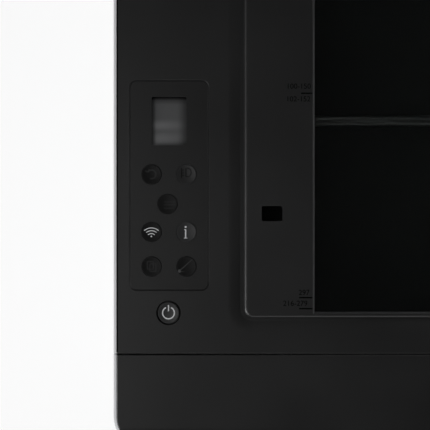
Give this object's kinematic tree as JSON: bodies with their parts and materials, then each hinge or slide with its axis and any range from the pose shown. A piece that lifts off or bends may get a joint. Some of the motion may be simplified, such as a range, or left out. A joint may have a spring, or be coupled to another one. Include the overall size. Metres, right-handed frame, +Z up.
{
  "type": "inkjet printer",
  "caption": "Compact flatbed inkjet printer with open scanner lid, control keys, front door, paper trays and a full print and scan mechanism.",
  "frame": {"origin": "on the table, under the middle of the case", "axes": "+X to the printer's right, +Y to its back, +Z up; the front faces -Y"},
  "size_m": [0.45, 0.3138, 0.3997],
  "materials": {
    "case_white": "satin",
    "deck_black": "fine matte texture",
    "panel_black": "smooth",
    "key_black": "satin",
    "display_grey": "smooth",
    "bed_glass": "polished",
    "soft_rubber": "matte",
    "steel": "zinc plated",
    "inner_grey": "matte",
    "gear_white": "satin",
    "lid_white": "smooth film over foam",
    "ink_black": "satin",
    "ink_grey": "satin",
    "board_green": "solder mask"
  },
  "bodies": {
    "printer": {"base_tray": "case_white", "outer_case": "case_white", "top_cover": "deck_black", "scanner_tub": "inner_grey", "scanner_glass": "bed_glass", "control_plate": "panel_black", "display_panel": "display_grey", "key_board": "board_green", "print_frame": "steel", "guide_rod": "steel", "carriage_belt": "soft_rubber", "carriage_motor": "steel", "feed_motor": "steel", "platen": "inner_grey", "pinch_carrier": "inner_grey", "star_wheel_bar": "inner_grey", "output_shelf": "deck_black", "paper_turn_guide": "inner_grey", "service_station": "inner_grey", "main_board": "board_green", "power_unit": "deck_black", "usb_port": "steel", "socket_plates": "deck_black", "rubber_feet": "soft_rubber", "scan_rod": "steel", "scan_belt": "soft_rubber", "scan_motor": "steel", "lid_hinges": "deck_black"},
    "lid": {"lid_cover": "deck_black", "lid_pad": "lid_white"},
    "front_door": {"door_band": "case_white", "door_cap": "deck_black"},
    "paper_tray": {"paper_tray": "case_white"},
    "width_guide": {"paper_width_guide": "deck_black"},
    "extender": {"output_extender": "deck_black"},
    "carriage": {"carriage": "inner_grey", "colour_cartridge": "ink_grey", "black_cartridge": "ink_black"},
    "carriage_pulley": {"carriage_pulley": "gear_white"},
    "carriage_idler": {"carriage_idler": "gear_white"},
    "feed_roller": {"feed_roller": "soft_rubber"},
    "feed_pinion": {"feed_pinion": "gear_white"},
    "idler_gear": {"idler_gear": "gear_white"},
    "output_roller": {"output_roller": "soft_rubber"},
    "pick_roller": {"pick_roller": "soft_rubber"},
    "lift_plate": {"lift_plate": "steel"},
    "pinch_rollers": {"pinch_rollers": "gear_white"},
    "star_wheels": {"star_wheels": "steel"},
    "scan_carriage": {"scan_carriage": "inner_grey"},
    "scan_pulley": {"scan_pulley": "gear_white"},
    "scan_idler": {"scan_idler": "gear_white"},
    "service_sled": {"service_sled": "inner_grey"},
    "key_back": {"key_back": "key_black"},
    "key_plus": {"key_plus": "key_black"},
    "key_minus": {"key_minus": "key_black"},
    "key_wireless": {"key_wireless": "key_black"},
    "key_info": {"key_info": "key_black"},
    "key_copy": {"key_copy": "key_black"},
    "key_stop": {"key_stop": "key_black"},
    "power_key": {"power_key": "key_black"}
  },
  "joints": [
    {"name": "lid_hinge", "type": "hinge", "parent": "printer", "child": "lid", "pos_m": [0, 0.1447, 0.15215], "axis": [1, 0, 0], "range_deg": [0, 92]},
    {"name": "door_hinge", "type": "hinge", "parent": "printer", "child": "front_door", "pos_m": [0, -0.1477, 0.0995], "axis": [1, 0, 0], "range_deg": [0, 80]},
    {"name": "tray_hinge", "type": "hinge", "parent": "printer", "child": "paper_tray", "pos_m": [0, -0.1512, 0.0105], "axis": [1, 0, 0], "range_deg": [0, 90]},
    {"name": "guide_slide", "type": "slide", "parent": "printer", "child": "width_guide", "axis": [1, 0, 0], "range_m": [0, 0.108]},
    {"name": "extender_slide", "type": "slide", "parent": "printer", "child": "extender", "axis": [0, -1, 0], "range_m": [0, 0.06]},
    {"name": "carriage_slide", "type": "slide", "parent": "printer", "child": "carriage", "axis": [1, 0, 0], "range_m": [-0.3, 0]},
    {"name": "carriage_pulley_spin", "type": "hinge", "parent": "printer", "child": "carriage_pulley", "pos_m": [-0.172, 0.053, 0.092], "axis": [0, 1, 0], "range_deg": [-2900, 20]},
    {"name": "carriage_idler_spin", "type": "hinge", "parent": "printer", "child": "carriage_idler", "pos_m": [0.172, 0.053, 0.092], "axis": [0, 1, 0], "range_deg": [-2900, 20]},
    {"name": "feed_roller_spin", "type": "hinge", "parent": "printer", "child": "feed_roller", "pos_m": [0, 0.04, 0.048], "axis": [1, 0, 0], "continuous": true},
    {"name": "feed_pinion_spin", "type": "hinge", "parent": "printer", "child": "feed_pinion", "pos_m": [-0.196, 0.07049, 0.03537], "axis": [1, 0, 0], "continuous": true},
    {"name": "idler_gear_spin", "type": "hinge", "parent": "printer", "child": "idler_gear", "pos_m": [-0.196, -0.005, 0.048], "axis": [1, 0, 0], "continuous": true},
    {"name": "output_roller_spin", "type": "hinge", "parent": "printer", "child": "output_roller", "pos_m": [0, -0.05, 0.048], "axis": [1, 0, 0], "continuous": true},
    {"name": "pick_roller_spin", "type": "hinge", "parent": "printer", "child": "pick_roller", "pos_m": [0, 0.104, 0.036], "axis": [1, 0, 0], "continuous": true},
    {"name": "lift_plate_hinge", "type": "hinge", "parent": "printer", "child": "lift_plate", "pos_m": [0, 0.02, 0.0102], "axis": [1, 0, 0], "range_deg": [0, 3]},
    {"name": "pinch_rollers_spin", "type": "hinge", "parent": "printer", "child": "pinch_rollers", "pos_m": [0, 0.04, 0.0603], "axis": [1, 0, 0], "continuous": true},
    {"name": "star_wheels_spin", "type": "hinge", "parent": "printer", "child": "star_wheels", "pos_m": [0, -0.05, 0.0623], "axis": [1, 0, 0], "continuous": true},
    {"name": "scan_slide", "type": "slide", "parent": "printer", "child": "scan_carriage", "axis": [1, 0, 0], "range_m": [-0.305, 0]},
    {"name": "scan_pulley_spin", "type": "hinge", "parent": "printer", "child": "scan_pulley", "pos_m": [-0.146, 0.1, 0.1225], "axis": [0, 0, 1], "range_deg": [-2900, 20]},
    {"name": "scan_idler_spin", "type": "hinge", "parent": "printer", "child": "scan_idler", "pos_m": [0.203, 0.1, 0.1225], "axis": [0, 0, 1], "range_deg": [-2900, 20]},
    {"name": "sled_slide", "type": "slide", "parent": "printer", "child": "service_sled", "axis": [0, 0, 1], "range_m": [-0.006, 0], "stiffness_N_per_m": 500, "springref_m": 0.01},
    {"name": "key_back_press", "type": "slide", "parent": "printer", "child": "key_back", "axis": [0, 0, -1], "range_m": [0, 0.0006], "stiffness_N_per_m": 800, "springref_m": -0.0005},
    {"name": "key_plus_press", "type": "slide", "parent": "printer", "child": "key_plus", "axis": [0, 0, -1], "range_m": [0, 0.0006], "stiffness_N_per_m": 800, "springref_m": -0.0005},
    {"name": "key_minus_press", "type": "slide", "parent": "printer", "child": "key_minus", "axis": [0, 0, -1], "range_m": [0, 0.0006], "stiffness_N_per_m": 800, "springref_m": -0.0005},
    {"name": "key_wireless_press", "type": "slide", "parent": "printer", "child": "key_wireless", "axis": [0, 0, -1], "range_m": [0, 0.0006], "stiffness_N_per_m": 800, "springref_m": -0.0005},
    {"name": "key_info_press", "type": "slide", "parent": "printer", "child": "key_info", "axis": [0, 0, -1], "range_m": [0, 0.0006], "stiffness_N_per_m": 800, "springref_m": -0.0005},
    {"name": "key_copy_press", "type": "slide", "parent": "printer", "child": "key_copy", "axis": [0, 0, -1], "range_m": [0, 0.0006], "stiffness_N_per_m": 800, "springref_m": -0.0005},
    {"name": "key_stop_press", "type": "slide", "parent": "printer", "child": "key_stop", "axis": [0, 0, -1], "range_m": [0, 0.0006], "stiffness_N_per_m": 800, "springref_m": -0.0005},
    {"name": "power_key_press", "type": "slide", "parent": "printer", "child": "power_key", "axis": [0, 0, -1], "range_m": [0, 0.0006], "stiffness_N_per_m": 800, "springref_m": -0.0005}
  ],
  "couplings": [
    {"joint": "carriage_pulley_spin", "follows": "carriage_slide", "rad_per_m": 163.93},
    {"joint": "carriage_idler_spin", "follows": "carriage_slide", "rad_per_m": 163.93},
    {"joint": "scan_pulley_spin", "follows": "scan_slide", "rad_per_m": 163.93},
    {"joint": "scan_idler_spin", "follows": "scan_slide", "rad_per_m": 163.93},
    {"joint": "feed_pinion_spin", "follows": "feed_roller_spin", "ratio": -2.6667},
    {"joint": "idler_gear_spin", "follows": "feed_roller_spin", "ratio": -1.1429},
    {"joint": "output_roller_spin", "follows": "feed_roller_spin", "ratio": 1},
    {"joint": "pinch_rollers_spin", "follows": "feed_roller_spin", "ratio": -2},
    {"joint": "star_wheels_spin", "follows": "feed_roller_spin", "ratio": -1.3333}
  ]
}
